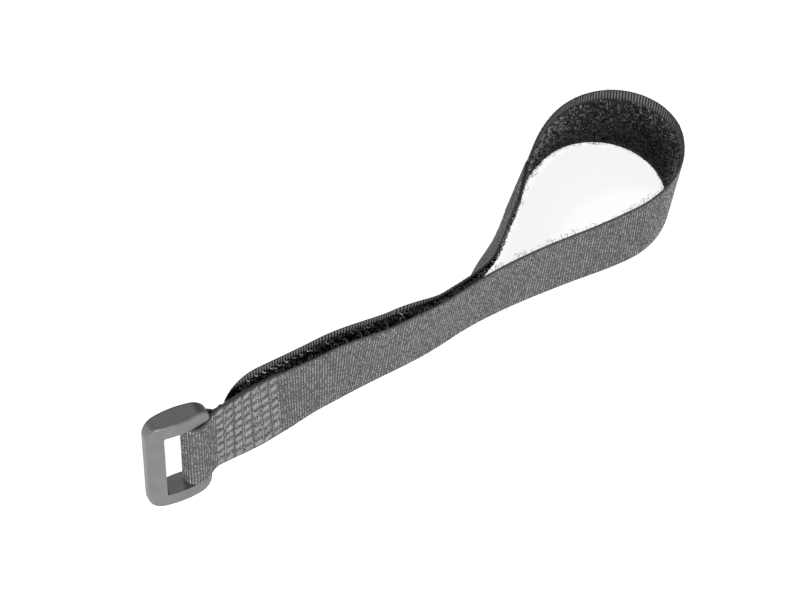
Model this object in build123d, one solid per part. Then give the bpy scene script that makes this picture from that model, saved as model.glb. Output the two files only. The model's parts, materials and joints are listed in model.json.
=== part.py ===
from build123d import *
from math import cos, radians, sin
import os

# Hook-and-loop battery strap on a moulded ring, in millimetres.
#
# The strap stands on its long edge, with its free end folded back along itself, so that
# it closes a teardrop loop.  +X runs along the straight side, away from the ring, +Z is
# up, and the origin is on the floor, under the middle of the whole object.

# ---- tapes --------------------------------------------------------------------------
TAPE_WIDTH = 20.0        # across the strap
LOOP_THICK = 1.2         # knitted backing and pile together
HOOK_THICK = 1.1         # backing and hooks together
TIP_RADIUS = 9.6         # rounded free end, a little under half of the width

# ---- ring ---------------------------------------------------------------------------
RING_REACH = 12.3        # from the captive bar's axis to the free bar's outer face
ARM_OVERRUN = 3.5        # from the captive bar's axis to the arms' other end
RING_DEPTH = 5.4         # thickest part of the arms, seen from above
RING_END_DEPTH = 2.6     # the arms' two ends, seen from above
ARM_HEIGHT = 4.0         # thickness of each arm
FREE_BAR = 4.1           # width of the free bar
CAPTIVE_BAR = 3.4        # diameter of the bar inside the fold
WINDOW_PLAY = 0.25       # between each arm and the edge of the tape
CORNER_RADIUS = 3.4      # outside corners, seen from the front
WINDOW_CORNER = 0.6      # inside corners of the window
EDGE_SOFT = 0.8          # softened edges of the moulding
RING_SWING = -10.0       # how the ring rests, turned from the line of the strap

# ---- fits ---------------------------------------------------------------------------
BAR_PLAY = 0.2           # running clearance of the fold on the captive bar
SEAM_GAP = 0.05          # between the two tapes where they are welded together

# ---- joined stretches ---------------------------------------------------------------
FOLD_REACH = 5.0         # from the captive bar's axis to the pressed patch
PATCH_LENGTH = 17.7      # pressed patch that closes the fold
PATCH_THICK = 2.1        # both layers after pressing
TAIL_INSET = 0.2         # the folded tail is this much narrower at each edge
TAIL_BITE = 0.4          # how deep the tail is pressed into the run
SEAM_LENGTH = 13.0       # overlap of the hook tape and the loop tape
STATION = 3.5            # longest step between two sections of a tape

# ---- how the strap lies -------------------------------------------------------------
# Each row is a stretch of the loop tape's middle line, which the hook tape carries on:
# length, turn to the left in degrees, then the lean of the tape (its top edge towards
# the right-hand side) and the height of its lower edge at the stretch's end.
STRAIGHT_SIDE = [
    (12.5, -0.5, -4.0, 4.0),
    (18.5, -2.0, 2.5, 4.1),
    (17.5, -2.0, 8.0, 3.0),
    (18.0, 9.2, 9.5, 2.3),
    (34.0, -14.8, 7.0, 0.9),
    (16.0, 5.5, 5.0, 0.5),
]
NOSE = [
    (26.5, 65.9, 9.0, 0.1),
    (38.5, 134.7, -10.0, 0.8),
]
RETURN_SIDE = [
    (17.5, 24.6, -14.0, 0.9),
    (28.5, -8.4, -24.5, 1.4),
]
CROSSING = [
    (19.0, -29.8, -15.0, 2.4),
    (13.0, -8.3, -8.0, 3.6),
]
FREE_END = [
    (20.0, 3.6, -1.5, 4.9),
    (25.5, 1.5, 2.0, 5.5),
]
LOOP_TAPE_END = 217.5    # along the middle line, from the captive bar's axis

# ---- sizes that follow --------------------------------------------------------------
EDGE_HEIGHT = ARM_HEIGHT + WINDOW_PLAY               # lower edge of the tape in the ring
WINDOW_HEIGHT = TAPE_WIDTH + 2 * WINDOW_PLAY
RING_HEIGHT = WINDOW_HEIGHT + 2 * ARM_HEIGHT
FOLD_INNER = CAPTIVE_BAR / 2 + BAR_PLAY
FOLD_OUTER = FOLD_INNER + LOOP_THICK
BAR_OFFSET = (PATCH_THICK - LOOP_THICK) / 2          # the bar lies in the patch's mid-plane
HOOK_OFFSET = (LOOP_THICK + HOOK_THICK) / 2 + SEAM_GAP
TAPE_COURSE = [(FOLD_REACH, 0.0, 0.0, EDGE_HEIGHT)]
TAPE_COURSE += STRAIGHT_SIDE + NOSE + RETURN_SIDE + CROSSING + FREE_END


def course_point(distance):
    """Place, heading, lean and lower-edge height of the middle line at a distance."""
    x, y, heading, lean, height = 0.0, 0.0, 0.0, 0.0, EDGE_HEIGHT
    for length, turn, end_lean, end_height in TAPE_COURSE:
        part = min(distance / length, 1.0)
        blend = part * part * (3 - 2 * part)
        half_turn = radians(turn * part) / 2
        chord = length * part
        if half_turn:
            chord *= sin(half_turn) / half_turn
        x += chord * cos(radians(heading) + half_turn)
        y += chord * sin(radians(heading) + half_turn)
        heading += turn * part
        lean += (end_lean - lean) * blend
        height += (end_height - height) * blend
        distance -= length
        if distance <= 0:
            break
    return x, y, heading, lean, height


def middle_line(distance):
    """Point of the tape's middle line, halfway up its width."""
    x, y, heading, lean, height = course_point(distance)
    return Vector(x, y, height + TAPE_WIDTH / 2 * cos(radians(lean)))


def section_plane(distance):
    """Plane across the tape: x up the width, y towards the outer face."""
    heading, lean = (radians(angle) for angle in course_point(distance)[2:4])
    small = 0.05
    ahead = (middle_line(distance + small) - middle_line(distance - small)).normalized()
    outward = Vector(sin(heading), -cos(heading), 0)
    upright = outward.cross(ahead).normalized()
    width = upright * cos(lean) + outward * sin(lean)
    return Plane(origin=middle_line(distance), x_dir=width, z_dir=ahead)


def tape(start, end, thick, outward=0.0, inset=0.0):
    """Length of tape between two distances, set off from the middle line."""
    steps = max(2, round((end - start) / STATION))
    sections = []
    for step in range(steps + 1):
        plane = section_plane(start + (end - start) * step / steps)
        section = Pos(0, outward) * Rectangle(TAPE_WIDTH - 2 * inset, thick)
        sections.append(plane * section)
    return loft(sections)


def loop_tape():
    """Tape folded round the captive bar, closed by the pressed patch, then the long run."""
    patch_end = FOLD_REACH + PATCH_LENGTH
    bar = Pos(0, BAR_OFFSET)
    patch_edge = Pos(FOLD_REACH, BAR_OFFSET) * Rectangle(0.02, PATCH_THICK)
    outside = make_hull((bar * Circle(FOLD_OUTER)).edges() + patch_edge.edges())
    inside = offset(outside, -LOOP_THICK)
    fold = Pos(0, 0, EDGE_HEIGHT) * extrude(outside - inside, TAPE_WIDTH)
    tail_thick = PATCH_THICK - LOOP_THICK + TAIL_BITE
    tail_shift = LOOP_THICK / 2 - TAIL_BITE + tail_thick / 2
    run = tape(FOLD_REACH, LOOP_TAPE_END, LOOP_THICK)
    tail = tape(FOLD_REACH, patch_end, tail_thick, -tail_shift, TAIL_INSET)
    return fold + run + tail


def hook_tape():
    """Tape welded outside the loop tape's end, cut round at the free end of the strap."""
    end = sum(stretch[0] for stretch in TAPE_COURSE)
    strip = tape(LOOP_TAPE_END - SEAM_LENGTH, end, HOOK_THICK, HOOK_OFFSET)
    corner = Pos(TAPE_WIDTH / 2, 0) * Rectangle(TAPE_WIDTH, 2 * TAPE_WIDTH)
    rounding = corner - make_hull(
        (Pos(0, TAPE_WIDTH / 2 - TIP_RADIUS) * Circle(TIP_RADIUS)).edges()
        + (Pos(0, TIP_RADIUS - TAPE_WIDTH / 2) * Circle(TIP_RADIUS)).edges()
    )
    across = section_plane(end)
    flat = Plane(
        origin=across.origin - across.z_dir * TIP_RADIUS + across.y_dir * HOOK_OFFSET,
        x_dir=across.z_dir,
        z_dir=across.y_dir,
    )
    return strip - flat * extrude(rounding, 3 * HOOK_THICK, both=True)


def ring():
    """Moulded ring: two lens-shaped arms, a flat free bar and a round captive bar."""
    far, near = -RING_REACH, ARM_OVERRUN
    length = near - far
    middle = (far + near) / 2
    half = RING_END_DEPTH / 2
    front = ThreePointArc((far, -half), (middle, -RING_DEPTH / 2), (near, -half))
    back = ThreePointArc((far, half), (middle, RING_DEPTH / 2), (near, half))
    plan = make_face([front, back, Line(front @ 0, back @ 0), Line(front @ 1, back @ 1)])
    lens = extrude(plan, RING_HEIGHT)
    front_view = Plane(origin=(middle, 0, RING_HEIGHT / 2), x_dir=(1, 0, 0), z_dir=(0, -1, 0))
    outline = RectangleRounded(length, RING_HEIGHT, CORNER_RADIUS)
    body = lens & front_view * extrude(outline, RING_DEPTH, both=True)
    body = fillet(body.edges().filter_by(Axis.Y, reverse=True), EDGE_SOFT)
    window_length = length - FREE_BAR
    opening = Rectangle(window_length + RING_DEPTH, WINDOW_HEIGHT)
    opening = fillet(opening.vertices().group_by(Axis.X)[0], WINDOW_CORNER)
    shift = (far + FREE_BAR + (window_length + RING_DEPTH) / 2) - middle
    body -= front_view * Pos(shift, 0) * extrude(opening, RING_DEPTH, both=True)
    captive = Cylinder(CAPTIVE_BAR / 2, WINDOW_HEIGHT + ARM_HEIGHT)
    return body + Pos(0, 0, RING_HEIGHT / 2) * captive


def assemble():
    """Pieces by name, moved so that the origin is on the floor under the middle."""
    pieces = {
        "ring": Pos(0, BAR_OFFSET) * Rot(0, 0, RING_SWING) * ring(),
        "loop_tape": loop_tape(),
        "hook_tape": hook_tape(),
    }
    box = Compound(list(pieces.values())).bounding_box()
    move = Pos(-box.center().X, -box.center().Y, -box.min.Z)
    return {name: move * piece for name, piece in pieces.items()}


os.makedirs("parts", exist_ok=True)
for name, piece in assemble().items():
    export_step(piece, f"parts/{name}.step")
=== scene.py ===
import json
import random
from math import acos, atan2, cos, hypot, pi, radians, sin, sqrt

import bpy
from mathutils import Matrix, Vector


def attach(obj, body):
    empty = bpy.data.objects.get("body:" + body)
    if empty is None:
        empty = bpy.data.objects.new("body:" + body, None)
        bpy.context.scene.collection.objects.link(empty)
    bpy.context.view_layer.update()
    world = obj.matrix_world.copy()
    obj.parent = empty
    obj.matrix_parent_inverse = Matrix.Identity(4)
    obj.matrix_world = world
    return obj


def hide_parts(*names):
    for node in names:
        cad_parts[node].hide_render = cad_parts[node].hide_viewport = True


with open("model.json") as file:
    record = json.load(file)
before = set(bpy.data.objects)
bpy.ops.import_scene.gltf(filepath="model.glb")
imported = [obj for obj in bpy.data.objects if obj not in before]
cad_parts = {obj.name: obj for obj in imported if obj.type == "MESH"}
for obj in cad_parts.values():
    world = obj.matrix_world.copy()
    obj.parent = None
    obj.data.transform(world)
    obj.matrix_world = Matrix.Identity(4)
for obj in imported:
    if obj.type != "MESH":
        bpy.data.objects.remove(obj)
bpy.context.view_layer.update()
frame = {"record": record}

MM = 0.001

# ---- sizes of the strap, in millimetres ------------------------------------------------
TAPE_WIDTH = 20.0
LOOP_THICK = 1.2          # knitted back and pile together
HOOK_THICK = 1.1          # back and hooks together
TIP_RADIUS = 9.6
CAPTIVE_BAR = 3.4
BAR_PLAY = 0.2
SEAM_GAP = 0.05
FOLD_REACH = 5.0
PATCH_LENGTH = 17.7
PATCH_THICK = 2.1
SEAM_LENGTH = 13.0
EDGE_HEIGHT = 4.25
LOOP_TAPE_END = 217.5

# Stretches of the middle line: length, turn to the left in degrees, then the lean of the
# tape and the height of its lower edge at the stretch's end.
STRAIGHT_SIDE = [
    (12.5, -0.5, -4.0, 4.0),
    (18.5, -2.0, 2.5, 4.1),
    (17.5, -2.0, 8.0, 3.0),
    (18.0, 9.2, 9.5, 2.3),
    (34.0, -14.8, 7.0, 0.9),
    (16.0, 5.5, 5.0, 0.5),
]
NOSE = [
    (26.5, 65.9, 9.0, 0.1),
    (38.5, 134.7, -10.0, 0.8),
]
RETURN_SIDE = [
    (17.5, 24.6, -14.0, 0.9),
    (28.5, -8.4, -24.5, 1.4),
]
CROSSING = [
    (19.0, -29.8, -15.0, 2.4),
    (13.0, -8.3, -8.0, 3.6),
]
FREE_END = [
    (20.0, 3.6, -1.5, 4.9),
    (25.5, 1.5, 2.0, 5.5),
]
TAPE_COURSE = [(FOLD_REACH, 0.0, 0.0, EDGE_HEIGHT)]
TAPE_COURSE += STRAIGHT_SIDE + NOSE + RETURN_SIDE + CROSSING + FREE_END
HOOK_TAPE_END = sum(stretch[0] for stretch in TAPE_COURSE)

# ---- what the finish adds, in millimetres ----------------------------------------------
BACK_THICK = 0.55         # knitted ground of the loop tape, without its pile
HOOK_BACK = 0.45          # woven ground of the hook tape, without its hooks
TAIL_FREE = 0.6           # tail beyond the pressed patch
TAIL_INSET = 0.9          # the tail is this much narrower at each edge
RIB_PITCH = 0.71          # ribs of the knit, which run across the tape
STITCH_PITCH = 0.56       # stitches along a rib
PAD_PITCH = (2.53, 2.45)  # pressed pads, along and across the tape
PAD_SIZE = (1.75, 1.35)
PAD_SLANT = 0.22          # how much higher a pad's far end lies
PAD_DEPTH = 0.22
PILE_PER_MM2 = 3.4        # pile loops
BARE_TOP = 2.7            # strip along the upper edge that carries no pile
BARE_FOOT = 1.1           # and along the lower edge
HOOK_PITCH = (1.0, 0.8)   # hooks, along and across the tape
STRAY_CLEAR = 1.8         # no stray fibre starts lower than this
FUZZ_CLEAR = 1.15         # and no short fuzz
WEAVE_PITCH = (0.55, 0.5) # stitches of the hook tape's back, along and across
STITCH_MARGIN = 0.25      # from the tape's edge to its first stitch
HOOK_MARGIN = 1.0         # from the tape's edge to its first hook
PAD_TOUCH = 0.25          # no stitch where a pad presses more than this share
EDGE_ROUNDING = 0.7       # how far a corner of the folded tape is eased

# ---- how finely the tapes are divided -----------------------------------------------------
OUTER_STEPS = 90          # across the outer face, fine enough for the pads
INNER_STEPS = 30          # across the inner face
EDGE_STEPS = 5            # round each edge
TIP_STEPS = 24            # along the rounded tip
FINE_STATION = 0.3        # millimetres between sections, where the tape is pressed
PLAIN_STATION = 1.0       # and elsewhere

# ---- view and light --------------------------------------------------------------------
VIEW_ELEVATION = 50.0
VIEW_TURN = 36.4          # the camera looks along +Y turned this far towards +X
VIEW_TARGET = (2.7, 4.45, 0.0)
VIEW_DISTANCE = 1000.0
LENS = 190.4
FLOOR_GLOW = 0.87
WORLD_STRENGTH = 0.13
# name, turn and elevation in degrees, distance and size in metres, power in watts
LAMPS = [
    ("front_light", 30.0, 13.0, 1.2, 0.55, 16.5),
    ("left_light", 120.0, 20.0, 1.2, 0.3, 4.0),
    ("back_light", 200.0, 55.0, 1.4, 0.2, 1.8),
]

joint = frame["record"]["behaviour"]["joints"][0]
BAR_AXIS = Vector(joint["pos_m"]) / MM
BAR_OFFSET = (PATCH_THICK - LOOP_THICK) / 2
START = Vector((BAR_AXIS.x, BAR_AXIS.y - BAR_OFFSET, 0.0))


def smooth_step(low, high, value):
    part = min(max((value - low) / (high - low), 0.0), 1.0)
    return part * part * (3 - 2 * part)


# ---- the tape's course -------------------------------------------------------------------
def course_point(distance):
    """Place, heading, lean and lower-edge height of the middle line at a distance."""
    x, y, heading, lean, height = START.x, START.y, 0.0, 0.0, EDGE_HEIGHT
    for length, turn, end_lean, end_height in TAPE_COURSE:
        part = min(distance / length, 1.0)
        blend = part * part * (3 - 2 * part)
        half_turn = radians(turn * part) / 2
        chord = length * part
        if half_turn:
            chord *= sin(half_turn) / half_turn
        x += chord * cos(radians(heading) + half_turn)
        y += chord * sin(radians(heading) + half_turn)
        heading += turn * part
        lean += (end_lean - lean) * blend
        height += (end_height - height) * blend
        distance -= length
        if distance <= 0:
            break
    return x, y, heading, lean, height


def middle_line(distance):
    x, y, heading, lean, height = course_point(distance)
    return Vector((x, y, height + TAPE_WIDTH / 2 * cos(radians(lean))))


def course_frame(distance):
    """Middle of the tape, its direction across the width and its outward direction."""
    heading, lean = (radians(angle) for angle in course_point(distance)[2:4])
    step = 0.05
    ahead = (middle_line(distance + step) - middle_line(distance - step)).normalized()
    outward = Vector((sin(heading), -cos(heading), 0))
    upright = outward.cross(ahead).normalized()
    width = upright * cos(lean) + outward * sin(lean)
    return middle_line(distance), width, ahead.cross(width).normalized()


def fold_sizes():
    """Lengths of the two straight flanks and of the arc that wraps the captive bar."""
    radius = CAPTIVE_BAR / 2 + BAR_PLAY + LOOP_THICK
    reach = hypot(FOLD_REACH, PATCH_THICK / 2)
    flank = sqrt(reach**2 - radius**2)
    corner = atan2(PATCH_THICK / 2, FOLD_REACH)
    touch = corner + acos(radius / reach)
    return radius, flank, touch, 2 * (pi - touch) * radius


def fold_frame(back):
    """Outer face of the fold, a distance back from the patch's start, round the bar."""
    radius, flank, touch, arc = fold_sizes()
    bar = START + Vector((0, BAR_OFFSET, 0))
    bar.z = EDGE_HEIGHT + TAPE_WIDTH / 2
    if back < flank + arc / 2:
        side = -1
    else:
        side = 1
        back = 2 * flank + arc - back
    if back < flank:
        angle = touch
    else:
        angle = touch + (back - flank) / radius
    normal = Vector((cos(angle), side * sin(angle), 0))
    along = Vector((sin(angle), -side * cos(angle), 0))
    place = bar + normal * radius
    if back < flank:
        place += along * (flank - back)
    return place, Vector((0, 0, 1)), normal


def back_frame(distance):
    """Outer face of the loop tape.  Below the patch's start it goes round the fold, and
    then along the tail, whose outer face looks the other way."""
    if distance >= FOLD_REACH:
        middle, width, outward = course_frame(distance)
        return middle + outward * LOOP_THICK / 2, width, outward
    back = FOLD_REACH - distance
    radius, flank, touch, arc = fold_sizes()
    round_length = 2 * flank + arc
    if back <= round_length:
        return fold_frame(back)
    middle, width, outward = course_frame(FOLD_REACH + back - round_length)
    return middle + outward * (LOOP_THICK / 2 - PATCH_THICK), width, -outward


def eased_frame(distance):
    """back_frame with the corners at the patch's start rounded off."""
    shares = (-1.0, -0.5, 0.0, 0.5, 1.0)
    frames = [back_frame(distance + EDGE_ROUNDING * share) for share in shares]
    place = sum((item[0] for item in frames), Vector()) / len(frames)
    normal = sum((item[2] for item in frames), Vector()).normalized()
    return place, frames[2][1], normal


def hook_frame(distance):
    """Outer face of the hook tape."""
    middle, width, outward = course_frame(distance)
    clear = smooth_step(LOOP_TAPE_END - 2.0, LOOP_TAPE_END + 8.0, distance)
    reach = LOOP_THICK / 2 + SEAM_GAP + HOOK_BACK + (HOOK_THICK - HOOK_BACK) * clear
    return middle + outward * reach, width, outward


FOLD_ROUND = 2 * fold_sizes()[1] + fold_sizes()[3]
TAIL_START = FOLD_REACH - FOLD_ROUND - PATCH_LENGTH - TAIL_FREE


# ---- meshes ------------------------------------------------------------------------------
def new_object(name, points, faces, smooth=True):
    mesh = bpy.data.meshes.new(name)
    mesh.from_pydata([point * MM for point in points], [], faces)
    mesh.validate()
    mesh.polygons.foreach_set("use_smooth", [smooth] * len(mesh.polygons))
    obj = bpy.data.objects.new(name, mesh)
    bpy.context.collection.objects.link(obj)
    return obj


def spaced(start, end, step):
    count = max(1, round((end - start) / step))
    return [start + (end - start) * i / count for i in range(count + 1)]


def pad_press(along, across, length):
    """How far a point of a pressed patch lies in one of its pads, from 0 to 1."""
    columns = round(length / PAD_PITCH[0])
    pitch = length / columns
    column = (along / pitch) % 1.0 - 0.5
    rows = round(TAPE_WIDTH / PAD_PITCH[1])
    slanted = across + TAPE_WIDTH / 2 - column * pitch * PAD_SLANT
    row = (slanted / (TAPE_WIDTH / rows)) % 1.0 - 0.5
    if not 0 <= along <= length:
        return 0.0
    in_column = smooth_step(PAD_SIZE[0] / 2 + 0.2, PAD_SIZE[0] / 2 - 0.1, abs(column) * pitch)
    row_pitch = TAPE_WIDTH / rows
    in_row = smooth_step(PAD_SIZE[1] / 2 + 0.2, PAD_SIZE[1] / 2 - 0.1, abs(row) * row_pitch)
    return in_column * in_row


def ribbon(name, frames, stations, thickness, half_width, press, materials):
    """Closed tape: outer face, rounded edges, inner face.  frames(distance) gives the
    outer face, thickness and half_width its section, press how deep a pad goes."""
    outer = [2 * i / OUTER_STEPS - 1 for i in range(OUTER_STEPS + 1)]
    turn = [pi * i / EDGE_STEPS for i in range(1, EDGE_STEPS)]
    inner = [1 - 2 * i / INNER_STEPS for i in range(INNER_STEPS + 1)]
    points, uvs, pressed = [], [], []
    for distance in stations:
        place, width, normal = frames(distance)
        thick = thickness(distance)
        edge = thick / 2
        reach = half_width(distance) - edge
        ring = [(share * reach, 0.0) for share in outer]
        ring += [(reach + edge * sin(a), edge - edge * cos(a)) for a in turn]
        ring += [(share * reach, thick) for share in inner]
        ring += [(-reach - edge * sin(a), edge + edge * cos(a)) for a in turn]
        for across, depth in ring:
            depth_in = press(distance, across)
            if depth < edge:
                depth += PAD_DEPTH * depth_in
            points.append(place + width * across - normal * depth)
            uvs.append((distance, across))
            pressed.append(depth_in)
    size = len(ring)
    count = len(stations)
    inner_start = len(outer) + len(turn) // 2
    inner_end = len(outer) + len(turn) + len(inner)
    faces, indices = [], []
    for i in range(count - 1):
        for j in range(size):
            k = (j + 1) % size
            faces.append((i * size + j, (i + 1) * size + j, (i + 1) * size + k, i * size + k))
            indices.append(1 if inner_start <= j < inner_end else 0)
    faces.append(tuple(range(size)))
    faces.append(tuple((count - 1) * size + j for j in range(size - 1, -1, -1)))
    indices += [0, 0]
    obj = new_object(name, points, faces)
    mesh = obj.data
    for material in materials:
        mesh.materials.append(material)
    mesh.polygons.foreach_set("material_index", indices)
    layer = mesh.uv_layers.new(name="tape")
    for loop in mesh.loops:
        layer.data[loop.index].uv = uvs[loop.vertex_index]
    attribute = mesh.attributes.new("pressed", "FLOAT", "POINT")
    attribute.data.foreach_set("value", pressed)
    return obj


def prism_tube(path, radii, sides):
    """Closed tube of few faces along a list of points."""
    points, faces = [], []
    for i, point in enumerate(path):
        ahead = path[min(i + 1, len(path) - 1)] - path[max(i - 1, 0)]
        side = Vector((0, 1, 0)) if abs(ahead.normalized().y) < 0.9 else Vector((1, 0, 0))
        first = ahead.cross(side).normalized()
        second = ahead.cross(first).normalized()
        for j in range(sides):
            angle = 2 * pi * j / sides
            points.append(point + (first * cos(angle) + second * sin(angle)) * radii[i])
    for i in range(len(path) - 1):
        for j in range(sides):
            k = (j + 1) % sides
            low, high = i * sides, (i + 1) * sides
            faces.append((low + j, low + k, high + k, high + j))
    faces.append(tuple(range(sides - 1, -1, -1)))
    last = (len(path) - 1) * sides
    faces.append(tuple(last + j for j in range(sides)))
    return points, faces


# ---- shapes that repeat --------------------------------------------------------------------
def stitch_shape():
    """Low dome, long in Y, that sits on the face it is set on."""
    length, width, height, sunk = 0.36, 0.27, 0.15, -0.08
    rim = [(-0.6, -0.5), (0.6, -0.5), (1.0, 0.0), (0.6, 0.5), (-0.6, 0.5), (-1.0, 0.0)]
    points = [Vector((across * 2 * width, share * length, sunk)) for share, across in rim]
    points += [Vector((0, -0.45 * length, height)), Vector((0, 0.45 * length, height))]
    faces = [(1, 0, 6, 7), (2, 1, 7), (3, 2, 7), (4, 3, 7, 6), (5, 4, 6), (0, 5, 6)]
    faces.append((0, 1, 2, 3, 4, 5))
    return new_object("stitch_shape", points, faces)


def pile_shape():
    """One loop of the pile, standing on its two feet."""
    radius, height, fibre = 0.25, 0.6, 0.055
    path = []
    for i in range(6):
        angle = pi * (1.15 - 1.3 * i / 5)
        path.append(Vector((radius * cos(angle), 0.0, height - radius + radius * sin(angle))))
    path[0] = Vector((-0.08, 0.05, -0.1))
    path[-1] = Vector((0.08, -0.05, -0.1))
    points, faces = prism_tube(path, [fibre] * len(path), 3)
    return new_object("pile_shape", points, faces)


def hook_shape():
    """Cut loop of stiff yarn: a stem that bends over into an open hook."""
    path = [
        Vector((0.0, 0.0, -0.1)),
        Vector((0.0, 0.0, 0.3)),
        Vector((0.06, 0.0, 0.52)),
        Vector((0.22, 0.0, 0.62)),
        Vector((0.36, 0.0, 0.52)),
        Vector((0.38, 0.0, 0.36)),
    ]
    points, faces = prism_tube(path, [0.09, 0.085, 0.08, 0.08, 0.075, 0.07], 4)
    return new_object("hook_shape", points, faces)


def stray_shape():
    """Loose curled fibre that has sprung out of the pile."""
    path = []
    for i in range(10):
        angle = radians(-70 + 33 * i)
        curl = 0.55 * (1 - 0.05 * i)
        path.append(Vector((curl * cos(angle), 0.08 * i, 0.5 + curl * sin(angle) + 0.03 * i)))
    points, faces = prism_tube(path, [0.034] * len(path), 3)
    return new_object("stray_shape", points, faces)


# ---- node trees ----------------------------------------------------------------------------
def set_on_points_tree():
    """Sets a shape on every point, standing along "outward" and turned towards "along"."""
    tree = bpy.data.node_groups.new("set_on_points", "GeometryNodeTree")
    sockets = tree.interface
    sockets.new_socket("Points", in_out="INPUT", socket_type="NodeSocketGeometry")
    sockets.new_socket("Shape", in_out="INPUT", socket_type="NodeSocketObject")
    sockets.new_socket("Turn", in_out="INPUT", socket_type="NodeSocketFloat")
    sockets.new_socket("Tilt", in_out="INPUT", socket_type="NodeSocketFloat")
    sockets.new_socket("Smallest", in_out="INPUT", socket_type="NodeSocketFloat")
    sockets.new_socket("Largest", in_out="INPUT", socket_type="NodeSocketFloat")
    sockets.new_socket("Seed", in_out="INPUT", socket_type="NodeSocketInt")
    sockets.new_socket("Material", in_out="INPUT", socket_type="NodeSocketMaterial")
    sockets.new_socket("Pieces", in_out="OUTPUT", socket_type="NodeSocketGeometry")
    node = tree.nodes.new
    link = tree.links.new
    given = node("NodeGroupInput")
    result = node("NodeGroupOutput")
    outward = node("GeometryNodeInputNamedAttribute")
    outward.data_type = "FLOAT_VECTOR"
    outward.inputs["Name"].default_value = "outward"
    along = node("GeometryNodeInputNamedAttribute")
    along.data_type = "FLOAT_VECTOR"
    along.inputs["Name"].default_value = "along"
    stand = node("FunctionNodeAlignRotationToVector")
    stand.axis = "Z"
    link(outward.outputs["Attribute"], stand.inputs["Vector"])
    face = node("FunctionNodeAlignRotationToVector")
    face.axis = "X"
    face.pivot_axis = "Z"
    link(stand.outputs["Rotation"], face.inputs["Rotation"])
    link(along.outputs["Attribute"], face.inputs["Vector"])
    high = node("ShaderNodeCombineXYZ")
    low = node("ShaderNodeVectorMath")
    low.operation = "SCALE"
    low.inputs["Scale"].default_value = -1.0
    link(given.outputs["Tilt"], high.inputs["X"])
    link(given.outputs["Tilt"], high.inputs["Y"])
    link(given.outputs["Turn"], high.inputs["Z"])
    link(high.outputs["Vector"], low.inputs[0])
    scatter = node("FunctionNodeRandomValue")
    scatter.data_type = "FLOAT_VECTOR"
    link(low.outputs["Vector"], scatter.inputs["Min"])
    link(high.outputs["Vector"], scatter.inputs["Max"])
    link(given.outputs["Seed"], scatter.inputs["Seed"])
    euler = node("FunctionNodeEulerToRotation")
    link(scatter.outputs["Value"], euler.inputs["Euler"])
    turned = node("FunctionNodeRotateRotation")
    turned.rotation_space = "LOCAL"
    link(face.outputs["Rotation"], turned.inputs["Rotation"])
    link(euler.outputs["Rotation"], turned.inputs["Rotate By"])
    size = node("FunctionNodeRandomValue")
    size.data_type = "FLOAT"
    link(given.outputs["Smallest"], size.inputs[2])
    link(given.outputs["Largest"], size.inputs[3])
    link(given.outputs["Seed"], size.inputs["Seed"])
    shape = node("GeometryNodeObjectInfo")
    link(given.outputs["Shape"], shape.inputs["Object"])
    place = node("GeometryNodeInstanceOnPoints")
    link(given.outputs["Points"], place.inputs["Points"])
    link(shape.outputs["Geometry"], place.inputs["Instance"])
    link(turned.outputs["Rotation"], place.inputs["Rotation"])
    link(size.outputs[1], place.inputs["Scale"])
    real = node("GeometryNodeRealizeInstances")
    link(place.outputs["Instances"], real.inputs["Geometry"])
    finish = node("GeometryNodeSetMaterial")
    link(real.outputs["Geometry"], finish.inputs["Geometry"])
    link(given.outputs["Material"], finish.inputs["Material"])
    link(finish.outputs["Geometry"], result.inputs["Pieces"])
    return tree


def set_on_points(name, tree, points, shape, material, turn, tilt, sizes, seed):
    """Piece of one shape repeated.  points holds place, outward, along and tone."""
    carrier = new_object(name, [item[0] for item in points], [])
    mesh = carrier.data
    for index, key in ((1, "outward"), (2, "along")):
        attribute = mesh.attributes.new(key, "FLOAT_VECTOR", "POINT")
        attribute.data.foreach_set("vector", [value for item in points for value in item[index]])
    tone = mesh.attributes.new("tone", "FLOAT", "POINT")
    tone.data.foreach_set("value", [item[3] for item in points])
    modifier = carrier.modifiers.new("set", "NODES")
    modifier.node_group = tree
    values = {
        "Shape": shape,
        "Turn": turn,
        "Tilt": tilt,
        "Smallest": sizes[0],
        "Largest": sizes[1],
        "Seed": seed,
        "Material": material,
    }
    for item in tree.interface.items_tree:
        if item.item_type == "SOCKET" and item.in_out == "INPUT" and item.name in values:
            modifier[item.identifier] = values[item.name]
    bpy.context.view_layer.update()
    graph = bpy.context.evaluated_depsgraph_get()
    made = bpy.data.meshes.new_from_object(carrier.evaluated_get(graph), depsgraph=graph)
    made.name = name
    carrier.modifiers.remove(modifier)
    carrier.data = made
    bpy.data.meshes.remove(mesh)
    return carrier


# ---- materials ---------------------------------------------------------------------------
def new_material(name):
    material = bpy.data.materials.new(name)
    material.use_nodes = True
    nodes = material.node_tree.nodes
    return material, nodes, material.node_tree.links, nodes["Principled BSDF"]


def read_attribute(nodes, name):
    attribute = nodes.new("ShaderNodeAttribute")
    attribute.attribute_name = name
    return attribute


def colour_ramp(nodes, links, source, stops):
    """Colours along a value; each stop is a position and a colour."""
    ramp = nodes.new("ShaderNodeValToRGB")
    links.new(source, ramp.inputs["Fac"])
    elements = ramp.color_ramp.elements
    while len(elements) < len(stops):
        elements.new(1.0)
    for element, (position, colour) in zip(elements, stops):
        element.position = position
        element.color = (*colour, 1.0)
    return ramp.outputs["Color"]


def blend_colours(nodes, links, kind, share, first, second):
    mix = nodes.new("ShaderNodeMix")
    mix.data_type = "RGBA"
    mix.blend_type = kind
    for socket, value in ((mix.inputs[0], share), (mix.inputs[6], first), (mix.inputs[7], second)):
        if isinstance(value, bpy.types.NodeSocket):
            links.new(value, socket)
        else:
            socket.default_value = value
    return mix.outputs[2]


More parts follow.
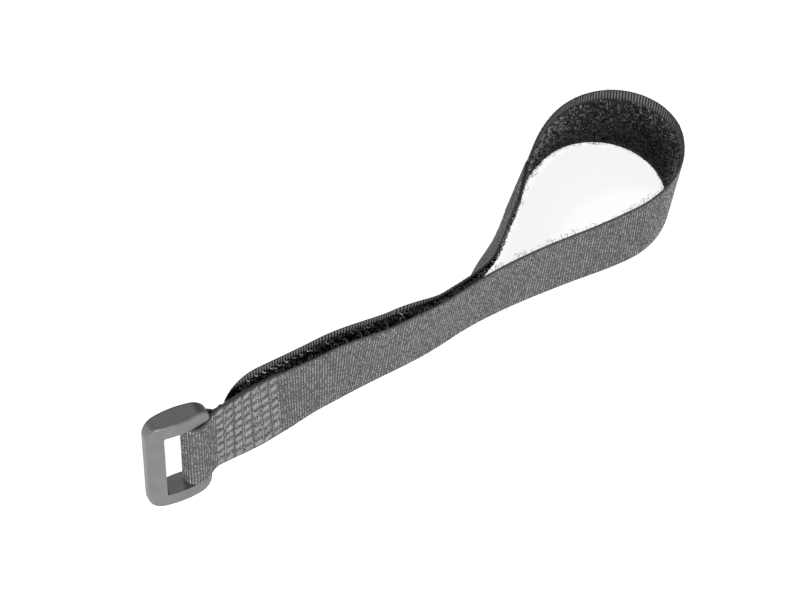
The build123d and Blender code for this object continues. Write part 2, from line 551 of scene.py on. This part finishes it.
def noise(nodes, links, vector, scale, detail=2.0):
    texture = nodes.new("ShaderNodeTexNoise")
    texture.inputs["Scale"].default_value = scale
    texture.inputs["Detail"].default_value = detail
    links.new(vector, texture.inputs["Vector"])
    return texture.outputs["Fac"]


def set_bump(nodes, links, bsdf, height, strength, distance):
    bump = nodes.new("ShaderNodeBump")
    bump.inputs["Strength"].default_value = strength
    bump.inputs["Distance"].default_value = distance
    links.new(height, bump.inputs["Height"])
    links.new(bump.outputs["Normal"], bsdf.inputs["Normal"])


def place_vector(nodes):
    return nodes.new("ShaderNodeTexCoord").outputs["Object"]


def ground_material(name, dull, bright):
    """Painted shade in the gaps between the stitches, flecked at random, and the smooth pads where the
    layers are welded.
    """
    material, nodes, links, bsdf = new_material(name)
    pressed = read_attribute(nodes, "pressed").outputs["Fac"]
    place = place_vector(nodes)
    fleck = noise(nodes, links, place, 3500.0)
    wide = noise(nodes, links, place, 700.0)
    # The ground between the stitches is painted dark as painted shade in the gaps, with random flecks.
    painted_gap_shade_stops = [(0.35, (0.034, 0.033, 0.037)), (0.7, (0.11, 0.108, 0.115))]
    yarn = colour_ramp(nodes, links, fleck, painted_gap_shade_stops)
    weld = colour_ramp(nodes, links, wide, [(0.35, dull), (0.65, bright)])
    links.new(blend_colours(nodes, links, "MIX", pressed, yarn, weld), bsdf.inputs["Base Color"])
    gloss = nodes.new("ShaderNodeMapRange")
    links.new(pressed, gloss.inputs["Value"])
    gloss.inputs["To Min"].default_value = 0.8
    gloss.inputs["To Max"].default_value = 0.42
    links.new(gloss.outputs["Result"], bsdf.inputs["Roughness"])
    set_bump(nodes, links, bsdf, fleck, 0.4, 0.00008)
    return material


def stitch_material(name, dark, light, roughness):
    """Grey yarn whose brightness changes from one stitch to the next."""
    material, nodes, links, bsdf = new_material(name)
    tone = read_attribute(nodes, "tone").outputs["Fac"]
    colour = colour_ramp(nodes, links, tone, [(0.0, dark), (1.0, light)])
    place = place_vector(nodes)
    strand = noise(nodes, links, place, 6000.0)
    shade = colour_ramp(nodes, links, strand, [(0.3, (0.72, 0.72, 0.72)), (0.7, (1.0, 1.0, 1.0))])
    links.new(blend_colours(nodes, links, "MULTIPLY", 1.0, colour, shade), bsdf.inputs["Base Color"])
    bsdf.inputs["Roughness"].default_value = roughness
    bsdf.inputs["Sheen Weight"].default_value = 0.15
    bsdf.inputs["Sheen Roughness"].default_value = 0.4
    set_bump(nodes, links, bsdf, strand, 0.5, 0.00006)
    return material


def yarn_material(name, dark, light, roughness):
    """Shiny round black fibre; each loop or hook gets its own tone, and the lighter tones, up to near
    white, are painted glints on the black yarn.
    """
    material, nodes, links, bsdf = new_material(name)
    tone = read_attribute(nodes, "tone").outputs["Fac"]
    colour = colour_ramp(nodes, links, tone, [(0.0, dark), (0.35, dark), (1.0, light)])
    fleck = noise(nodes, links, place_vector(nodes), 2500.0)
    shade = colour_ramp(nodes, links, fleck, [(0.3, (0.6, 0.6, 0.6)), (0.7, (1.0, 1.0, 1.0))])
    links.new(blend_colours(nodes, links, "MULTIPLY", 1.0, colour, shade), bsdf.inputs["Base Color"])
    bsdf.inputs["Roughness"].default_value = roughness
    bsdf.inputs["Specular IOR Level"].default_value = 0.6
    return material


def pile_ground_material():
    """Face of the ground that the pile stands on; it shows along the bare edges, and under the pile it
    is painted almost black as painted shade.
    """
    material, nodes, links, bsdf = new_material("pile_ground_with_painted_shade")
    place = nodes.new("ShaderNodeUVMap")
    place.uv_map = "tape"
    split = nodes.new("ShaderNodeSeparateXYZ")
    links.new(place.outputs["UV"], split.inputs["Vector"])
    rib = nodes.new("ShaderNodeMath")
    rib.operation = "MULTIPLY"
    rib.inputs[1].default_value = 2 * pi / RIB_PITCH
    links.new(split.outputs["X"], rib.inputs[0])
    wave = nodes.new("ShaderNodeMath")
    wave.operation = "SINE"
    links.new(rib.outputs[0], wave.inputs[0])
    level = nodes.new("ShaderNodeMapRange")
    level.inputs["From Min"].default_value = -1.0
    links.new(wave.outputs[0], level.inputs["Value"])
    rib_stops = [(0.3, (0.008, 0.008, 0.009)), (0.85, (0.17, 0.168, 0.175))]
    ribs = colour_ramp(nodes, links, level.outputs["Result"], rib_stops)
    reach = nodes.new("ShaderNodeMath")
    reach.operation = "ABSOLUTE"
    centred = nodes.new("ShaderNodeMath")
    centred.inputs[1].default_value = (BARE_TOP - BARE_FOOT) / 2
    links.new(split.outputs["Y"], centred.inputs[0])
    links.new(centred.outputs[0], reach.inputs[0])
    bare = nodes.new("ShaderNodeMapRange")
    half_pile = (TAPE_WIDTH - BARE_TOP - BARE_FOOT) / 2
    bare.inputs["From Min"].default_value = half_pile - 0.5
    bare.inputs["From Max"].default_value = half_pile + 0.3
    links.new(reach.outputs[0], bare.inputs["Value"])
    # Under the pile the ground is painted almost black: painted shade cast by the pile.
    hidden = (0.006, 0.006, 0.007, 1.0)
    shown = blend_colours(nodes, links, "MIX", bare.outputs["Result"], hidden, ribs)
    links.new(shown, bsdf.inputs["Base Color"])
    bsdf.inputs["Roughness"].default_value = 0.7
    set_bump(nodes, links, bsdf, level.outputs["Result"], 0.8, 0.0002)
    return material


def ring_material():
    """Moulded plastic with a fine spark-eroded grain and slightly cloudy gloss."""
    material, nodes, links, bsdf = new_material("ring_plastic")
    place = place_vector(nodes)
    grain = noise(nodes, links, place, 4200.0, 3.0)
    cloud = noise(nodes, links, place, 260.0, 3.0)
    tint_stops = [(0.35, (0.132, 0.132, 0.136)), (0.65, (0.158, 0.158, 0.162))]
    tint = colour_ramp(nodes, links, cloud, tint_stops)
    speck = colour_ramp(nodes, links, grain, [(0.3, (0.88, 0.88, 0.88)), (0.7, (1.0, 1.0, 1.0))])
    links.new(blend_colours(nodes, links, "MULTIPLY", 1.0, tint, speck), bsdf.inputs["Base Color"])
    rough = nodes.new("ShaderNodeMapRange")
    links.new(cloud, rough.inputs["Value"])
    rough.inputs["To Min"].default_value = 0.3
    rough.inputs["To Max"].default_value = 0.5
    links.new(rough.outputs["Result"], bsdf.inputs["Roughness"])
    bsdf.inputs["Specular IOR Level"].default_value = 0.5
    set_bump(nodes, links, bsdf, grain, 0.25, 0.00006)
    return material


# ---- the tapes ---------------------------------------------------------------------------
def loop_thickness(distance):
    """Ground alone on the run; ground and crushed pile in the fold and the patch."""
    crushed = smooth_step(FOLD_REACH + PATCH_LENGTH + 1.5, FOLD_REACH + PATCH_LENGTH, distance)
    return BACK_THICK + (PATCH_THICK / 2 - 0.01 - BACK_THICK) * crushed


def loop_press(distance, across):
    if distance >= FOLD_REACH:
        return pad_press(distance - FOLD_REACH, across, PATCH_LENGTH)
    return pad_press(FOLD_REACH - distance - FOLD_ROUND, across, PATCH_LENGTH)


def hook_press(distance, across):
    return pad_press(distance - (LOOP_TAPE_END - SEAM_LENGTH), across, SEAM_LENGTH)


def hook_half_width(distance):
    left = HOOK_TAPE_END - distance
    half = TAPE_WIDTH / 2
    if left >= TIP_RADIUS:
        return half
    return half - TIP_RADIUS + sqrt(TIP_RADIUS**2 - (TIP_RADIUS - max(left, 0.05))**2)


def rows_of_points(frames, start, end, pitches, half_width, margin, keep, sign, depth, seed):
    """Points in staggered rows on one face of a tape: place, outward, along, tone.
    sign is 1 where they stand on the outer face and -1 on the inner one."""
    random.seed(seed)
    points = []
    along_pitch, across_pitch = pitches
    count = int((end - start) / along_pitch)
    for i in range(count):
        distance = start + (i + 0.5) * along_pitch
        place, width, normal = frames(distance)
        along = normal.cross(width)
        reach = half_width(distance) - margin
        rows = int(2 * reach / across_pitch)
        shift = across_pitch / 2 if i % 2 else 0.0
        for j in range(rows):
            spare = 2 * reach - (rows - 0.5) * across_pitch
            across = -reach + j * across_pitch + shift + spare / 2
            if not keep(distance, across):
                continue
            point = place + width * across - normal * depth
            points.append((point, normal * sign, along, random.random()))
    return points


def scattered_points(frames, start, end, density, depth, seed):
    """Points strewn evenly over a tape's inner face."""
    random.seed(seed)
    points = []
    low = BARE_FOOT - TAPE_WIDTH / 2
    high = TAPE_WIDTH / 2 - BARE_TOP
    count = int((end - start) * (high - low) * density)
    for i in range(count):
        distance = start + (end - start) * (i + random.random()) / count
        ragged_high = high + 0.9 * (random.random() - 0.5)
        across = low + (ragged_high - low) * random.random()
        place, width, normal = frames(distance)
        along = normal.cross(width)
        points.append((place + width * across - normal * depth, -normal, along, random.random()))
    return points


def edge_points(frames, stretches, depth, clear, seed):
    """Points along the tape's edges where fibres have sprung out."""
    random.seed(seed)
    points = []
    for start, end, side, count in stretches:
        for i in range(count):
            distance = start + (end - start) * random.random()
            place, width, normal = frames(distance)
            along = normal.cross(width)
            sideways = width * side * (0.6 + 0.4 * random.random())
            out = (sideways - normal * random.random()).normalized()
            point = place + width * side * (TAPE_WIDTH / 2 - 0.3) - normal * depth
            if point.z < clear:
                point += width * (clear - point.z)
            points.append((point, out, along, random.random()))
    return points


# ---- the object ------------------------------------------------------------------------------
def loop_half_width(distance):
    """The tail behind the patch is a little narrower than the run."""
    hidden = smooth_step(FOLD_REACH - FOLD_ROUND + 1.0, FOLD_REACH - FOLD_ROUND - 1.0, distance)
    return TAPE_WIDTH / 2 - TAIL_INSET * hidden


def make_strap():
    ground = ground_material("knit_ground", (0.16, 0.163, 0.165), (0.26, 0.263, 0.26))
    # The seam's pads are coloured near white: their own paler pressed tone with a painted highlight on
    # top.
    seam_ground_painted_highlight = ground_material("seam_ground_painted_highlight", (0.5, 0.5, 0.5), (0.75, 0.75, 0.74))
    pile_ground_with_painted_shade = pile_ground_material()
    patch_end = FOLD_REACH + PATCH_LENGTH
    fine_end = patch_end + 2.0
    stations = spaced(TAIL_START, fine_end, FINE_STATION)
    stations += spaced(fine_end, LOOP_TAPE_END, PLAIN_STATION)[1:]
    loop_cloth = ribbon(
        "loop_cloth",
        eased_frame,
        stations,
        loop_thickness,
        loop_half_width,
        loop_press,
        (ground, pile_ground_with_painted_shade),
    )
    seam_start = LOOP_TAPE_END - SEAM_LENGTH
    fine_end = LOOP_TAPE_END + 1.0
    tip_start = HOOK_TAPE_END - TIP_RADIUS
    stations = spaced(seam_start, fine_end, FINE_STATION)
    stations += spaced(fine_end, tip_start, PLAIN_STATION)[1:]
    for i in range(1, TIP_STEPS + 1):
        stations.append(HOOK_TAPE_END - TIP_RADIUS * (1 - sin(pi / 2 * i / TIP_STEPS)))
    hook_cloth = ribbon(
        "hook_cloth",
        hook_frame,
        stations,
        lambda distance: HOOK_BACK,
        hook_half_width,
        hook_press,
        (seam_ground_painted_highlight, pile_ground_with_painted_shade),
    )

    tree = set_on_points_tree()
    stitch = stitch_shape()
    pile = pile_shape()
    hook = hook_shape()
    stray = stray_shape()
    knit = stitch_material("knit_stitches", (0.045, 0.044, 0.05), (0.37, 0.368, 0.385), 0.5)
    weave = stitch_material("woven_back", (0.06, 0.06, 0.062), (0.36, 0.358, 0.37), 0.5)
    # Black pile, stray and hook yarn; the light end of each tone range is painted glints.
    black = yarn_material("pile_yarn_painted_glints", (0.014, 0.014, 0.015), (0.92, 0.91, 0.94), 0.28)
    fuzz = yarn_material("stray_yarn_painted_glints", (0.03, 0.03, 0.032), (0.3, 0.3, 0.31), 0.35)
    stiff = yarn_material("hook_yarn_painted_glints", (0.060, 0.060, 0.062), (0.92, 0.92, 0.93), 0.25)

    def outside_pads(distance, across):
        return loop_press(distance, across) < PAD_TOUCH

    def outside_seam_pads(distance, across):
        return hook_press(distance, across) < PAD_TOUCH

    loop_stitches = rows_of_points(
        eased_frame,
        TAIL_START,
        LOOP_TAPE_END,
        (RIB_PITCH, STITCH_PITCH),
        loop_half_width,
        STITCH_MARGIN,
        outside_pads,
        1,
        0.0,
        11,
    )
    hook_stitches = rows_of_points(
        hook_frame,
        seam_start,
        HOOK_TAPE_END - 0.4,
        WEAVE_PITCH,
        hook_half_width,
        STITCH_MARGIN,
        outside_seam_pads,
        1,
        0.0,
        12,
    )
    hooks = rows_of_points(
        hook_frame,
        LOOP_TAPE_END + 0.4,
        HOOK_TAPE_END - 0.6,
        HOOK_PITCH,
        hook_half_width,
        HOOK_MARGIN,
        lambda distance, across: True,
        -1,
        HOOK_BACK,
        13,
    )
    middle = (patch_end + LOOP_TAPE_END) / 2
    inner = BACK_THICK
    first_pile = scattered_points(eased_frame, patch_end + 0.5, middle, PILE_PER_MM2, inner, 14)
    second_pile = scattered_points(eased_frame, middle, LOOP_TAPE_END - 0.2, PILE_PER_MM2, inner, 15)
    strays = edge_points(
        eased_frame,
        [
            (patch_end, LOOP_TAPE_END, 1, 250),
            (patch_end, LOOP_TAPE_END, -1, 250),
        ],
        inner,
        STRAY_CLEAR,
        16,
    )
    fuzz_points = edge_points(
        eased_frame,
        [
            (patch_end, LOOP_TAPE_END, 1, 250),
            (LOOP_TAPE_END * 0.5, LOOP_TAPE_END, -1, 750),
        ],
        inner,
        FUZZ_CLEAR,
        17,
    )
    loop_pieces = [
        set_on_points("loop_stitches", tree, loop_stitches, stitch, knit, 0.08, 0.08, (0.92, 1.05), 21),
        set_on_points("pile_near", tree, first_pile, pile, black, pi, 0.35, (0.7, 1.1), 22),
        set_on_points("pile_far", tree, second_pile, pile, black, pi, 0.35, (0.7, 1.1), 23),
        set_on_points("stray_loops", tree, strays, stray, fuzz, pi, 0.6, (0.5, 1.3), 24),
        set_on_points("edge_fuzz", tree, fuzz_points, stray, fuzz, pi, 0.9, (0.35, 0.75), 27),
    ]
    hook_pieces = [
        set_on_points(
            "hook_back_stitches", tree, hook_stitches, stitch, weave, 0.05, 0.05, (0.72, 0.8), 25
        ),
        set_on_points("hooks", tree, hooks, hook, stiff, 0.3, 0.14, (1.3, 1.6), 26),
    ]
    for shape in (stitch, pile, hook, stray):
        bpy.data.objects.remove(shape)

    for piece in [loop_cloth, hook_cloth] + loop_pieces + hook_pieces:
        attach(piece, "strap")
    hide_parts("loop_tape")
    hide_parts("hook_tape")


def make_ring():
    ring = bpy.data.objects["ring"]
    plastic = ring_material()
    for slot in ring.material_slots:
        slot.material = plastic


# ---- floor, light and view -------------------------------------------------------------------
def make_floor():
    """Pale floor that the camera and reflections see as white, with the shadow kept."""
    mesh = bpy.data.meshes.new("floor")
    half = 1.5
    corners = [(-half, -half, 0), (half, -half, 0), (half, half, 0), (-half, half, 0)]
    mesh.from_pydata(corners, [], [(0, 1, 2, 3)])
    floor = bpy.data.objects.new("floor", mesh)
    bpy.context.collection.objects.link(floor)
    material, nodes, links, bsdf = new_material("white_floor")
    bsdf.inputs["Base Color"].default_value = (0.8, 0.8, 0.8, 1.0)
    bsdf.inputs["Roughness"].default_value = 0.9
    bsdf.inputs["Specular IOR Level"].default_value = 0.0
    glow = nodes.new("ShaderNodeEmission")
    glow.inputs["Strength"].default_value = FLOOR_GLOW
    add = nodes.new("ShaderNodeAddShader")
    links.new(bsdf.outputs["BSDF"], add.inputs[0])
    links.new(glow.outputs["Emission"], add.inputs[1])
    path = nodes.new("ShaderNodeLightPath")
    seen = nodes.new("ShaderNodeMath")
    seen.operation = "MAXIMUM"
    links.new(path.outputs["Is Camera Ray"], seen.inputs[0])
    links.new(path.outputs["Is Glossy Ray"], seen.inputs[1])
    clear = nodes.new("ShaderNodeMath")
    clear.operation = "MAXIMUM"
    links.new(seen.outputs[0], clear.inputs[0])
    links.new(path.outputs["Is Transmission Ray"], clear.inputs[1])
    mix = nodes.new("ShaderNodeMixShader")
    links.new(clear.outputs[0], mix.inputs["Fac"])
    links.new(bsdf.outputs["BSDF"], mix.inputs[1])
    links.new(add.outputs["Shader"], mix.inputs[2])
    links.new(mix.outputs["Shader"], nodes["Material Output"].inputs["Surface"])
    mesh.materials.append(material)


def aim(obj, place, target):
    obj.location = place
    obj.rotation_euler = (target - place).to_track_quat("-Z", "Y").to_euler()


def view_direction(turn, elevation):
    """Unit vector from the object towards a viewer turned from -Y towards -X."""
    turn, elevation = radians(turn), radians(elevation)
    return Vector((-sin(turn) * cos(elevation), -cos(turn) * cos(elevation), sin(elevation)))


def make_camera():
    data = bpy.data.cameras.new("camera")
    data.lens = LENS
    data.sensor_width = 36.0
    data.clip_end = 20.0
    camera = bpy.data.objects.new("camera", data)
    bpy.context.collection.objects.link(camera)
    target = Vector(VIEW_TARGET) * MM
    aim(camera, target + view_direction(VIEW_TURN, VIEW_ELEVATION) * VIEW_DISTANCE * MM, target)
    bpy.context.scene.camera = camera


def make_lamp(name, turn, elevation, distance, size, power):
    data = bpy.data.lights.new(name, "AREA")
    data.shape = "DISK"
    data.size = size
    data.energy = power
    lamp = bpy.data.objects.new(name, data)
    bpy.context.collection.objects.link(lamp)
    target = Vector((0.0, 0.0, 0.01))
    aim(lamp, target + view_direction(turn, elevation) * distance, target)


def make_light():
    for name, turn, elevation, distance, size, power in LAMPS:
        make_lamp(name, turn, elevation, distance, size, power)
    world = bpy.data.worlds.new("studio")
    bpy.context.scene.world = world
    world.use_nodes = True
    background = world.node_tree.nodes["Background"]
    background.inputs["Color"].default_value = (1.0, 1.0, 1.0, 1.0)
    background.inputs["Strength"].default_value = WORLD_STRENGTH


make_strap()
make_ring()
make_floor()
make_light()
make_camera()
bpy.context.scene.view_settings.view_transform = "Standard"
